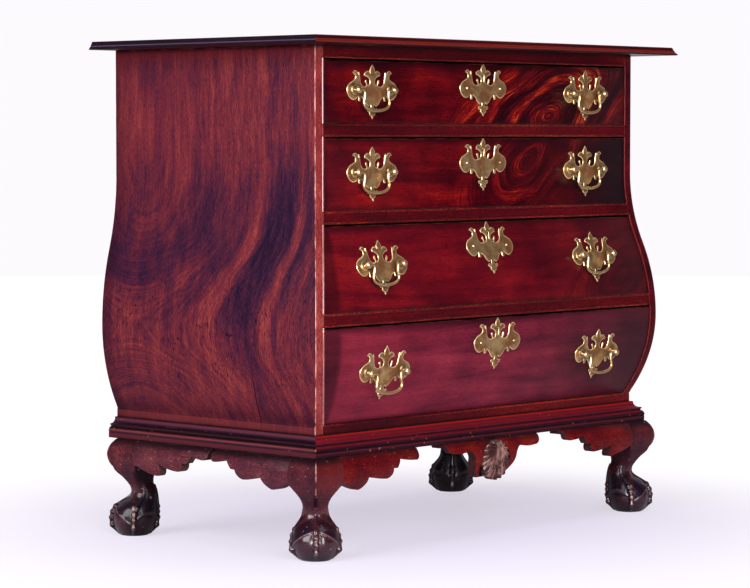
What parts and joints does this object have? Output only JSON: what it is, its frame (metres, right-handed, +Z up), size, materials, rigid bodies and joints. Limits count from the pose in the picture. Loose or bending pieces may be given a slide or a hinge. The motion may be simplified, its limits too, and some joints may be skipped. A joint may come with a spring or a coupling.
{
  "type": "chest of drawers",
  "caption": "Bombe chest of drawers with swelled front and sides, shaped bail-handled brass plates, scalloped aprons, a carved shell and claw-and-ball feet.",
  "frame": {"origin": "on the floor, at the middle of the width and depth of the bounding box, which is the top board's outline", "axes": "+X along the width, to the right of someone who faces the drawers; -Y out of the drawers' fronts; +Z up"},
  "size_m": [0.94, 0.534, 0.84],
  "materials": {
    "mahogany": "varnished, glossy",
    "drawer_front_wood": "varnished crotch figure, glossy",
    "secondary_wood": "plain, unvarnished",
    "brass": "aged, softly polished"
  },
  "bodies": {
    "case": {"apron_back": "secondary_wood", "apron_front": "mahogany", "apron_left": "mahogany", "apron_right": "mahogany", "back_boards": "secondary_wood", "bottom_board": "secondary_wood", "bottom_rail": "mahogany", "divider_1": "mahogany", "divider_2": "mahogany", "divider_3": "mahogany", "drawer_runners": "secondary_wood", "glue_blocks": "secondary_wood", "leg_front_left": "mahogany", "leg_front_right": "mahogany", "leg_rear_left": "mahogany", "leg_rear_right": "mahogany", "moulding_front": "mahogany", "moulding_left": "mahogany", "moulding_right": "mahogany", "shell_pendant": "mahogany", "side_left": "mahogany", "side_right": "mahogany", "top_board": "mahogany", "top_rail": "mahogany"},
    "drawer_1": {"drawer_1_back": "secondary_wood", "drawer_1_bottom": "secondary_wood", "drawer_1_front": "drawer_front_wood", "drawer_1_lock": "brass", "drawer_1_plates": "brass", "drawer_1_posts": "brass", "drawer_1_sides": "secondary_wood"},
    "bail_1_left": {"drawer_1_bail_left": "brass"},
    "bail_1_right": {"drawer_1_bail_right": "brass"},
    "drawer_2": {"drawer_2_back": "secondary_wood", "drawer_2_bottom": "secondary_wood", "drawer_2_front": "drawer_front_wood", "drawer_2_lock": "brass", "drawer_2_plates": "brass", "drawer_2_posts": "brass", "drawer_2_sides": "secondary_wood"},
    "bail_2_left": {"drawer_2_bail_left": "brass"},
    "bail_2_right": {"drawer_2_bail_right": "brass"},
    "drawer_3": {"drawer_3_back": "secondary_wood", "drawer_3_bottom": "secondary_wood", "drawer_3_front": "drawer_front_wood", "drawer_3_lock": "brass", "drawer_3_plates": "brass", "drawer_3_posts": "brass", "drawer_3_sides": "secondary_wood"},
    "bail_3_left": {"drawer_3_bail_left": "brass"},
    "bail_3_right": {"drawer_3_bail_right": "brass"},
    "drawer_4": {"drawer_4_back": "secondary_wood", "drawer_4_bottom": "secondary_wood", "drawer_4_front": "drawer_front_wood", "drawer_4_lock": "brass", "drawer_4_plates": "brass", "drawer_4_posts": "brass", "drawer_4_sides": "secondary_wood"},
    "bail_4_left": {"drawer_4_bail_left": "brass"},
    "bail_4_right": {"drawer_4_bail_right": "brass"}
  },
  "joints": [
    {"name": "drawer_1_slide", "type": "slide", "parent": "case", "child": "drawer_1", "axis": [0, -1, 0], "range_m": [0, 0.34]},
    {"name": "bail_1_left_hinge", "type": "hinge", "parent": "drawer_1", "child": "bail_1_left", "pos_m": [-0.277, -0.218, 0.7553], "axis": [-1, 0, 0], "range_deg": [-10, 110]},
    {"name": "bail_1_right_hinge", "type": "hinge", "parent": "drawer_1", "child": "bail_1_right", "pos_m": [0.277, -0.218, 0.7553], "axis": [-1, 0, 0], "range_deg": [-10, 110]},
    {"name": "drawer_2_slide", "type": "slide", "parent": "case", "child": "drawer_2", "axis": [0, -1, 0], "range_m": [0, 0.34]},
    {"name": "bail_2_left_hinge", "type": "hinge", "parent": "drawer_2", "child": "bail_2_left", "pos_m": [-0.277, -0.218, 0.6218], "axis": [-1, 0, 0], "range_deg": [-10, 110]},
    {"name": "bail_2_right_hinge", "type": "hinge", "parent": "drawer_2", "child": "bail_2_right", "pos_m": [0.277, -0.218, 0.6218], "axis": [-1, 0, 0], "range_deg": [-10, 110]},
    {"name": "drawer_3_slide", "type": "slide", "parent": "case", "child": "drawer_3", "axis": [0, -1, 0], "range_m": [0, 0.34]},
    {"name": "bail_3_left_hinge", "type": "hinge", "parent": "drawer_3", "child": "bail_3_left", "pos_m": [-0.277, -0.2393, 0.47243], "axis": [-1, 0, 0], "range_deg": [0, 110]},
    {"name": "bail_3_right_hinge", "type": "hinge", "parent": "drawer_3", "child": "bail_3_right", "pos_m": [0.277, -0.2393, 0.47243], "axis": [-1, 0, 0], "range_deg": [0, 110]},
    {"name": "drawer_4_slide", "type": "slide", "parent": "case", "child": "drawer_4", "axis": [0, -1, 0], "range_m": [0, 0.34]},
    {"name": "bail_4_left_hinge", "type": "hinge", "parent": "drawer_4", "child": "bail_4_left", "pos_m": [-0.277, -0.24593, 0.2961], "axis": [-1, 0, 0], "range_deg": [-24, 110]},
    {"name": "bail_4_right_hinge", "type": "hinge", "parent": "drawer_4", "child": "bail_4_right", "pos_m": [0.277, -0.24593, 0.2961], "axis": [-1, 0, 0], "range_deg": [-24, 110]}
  ]
}
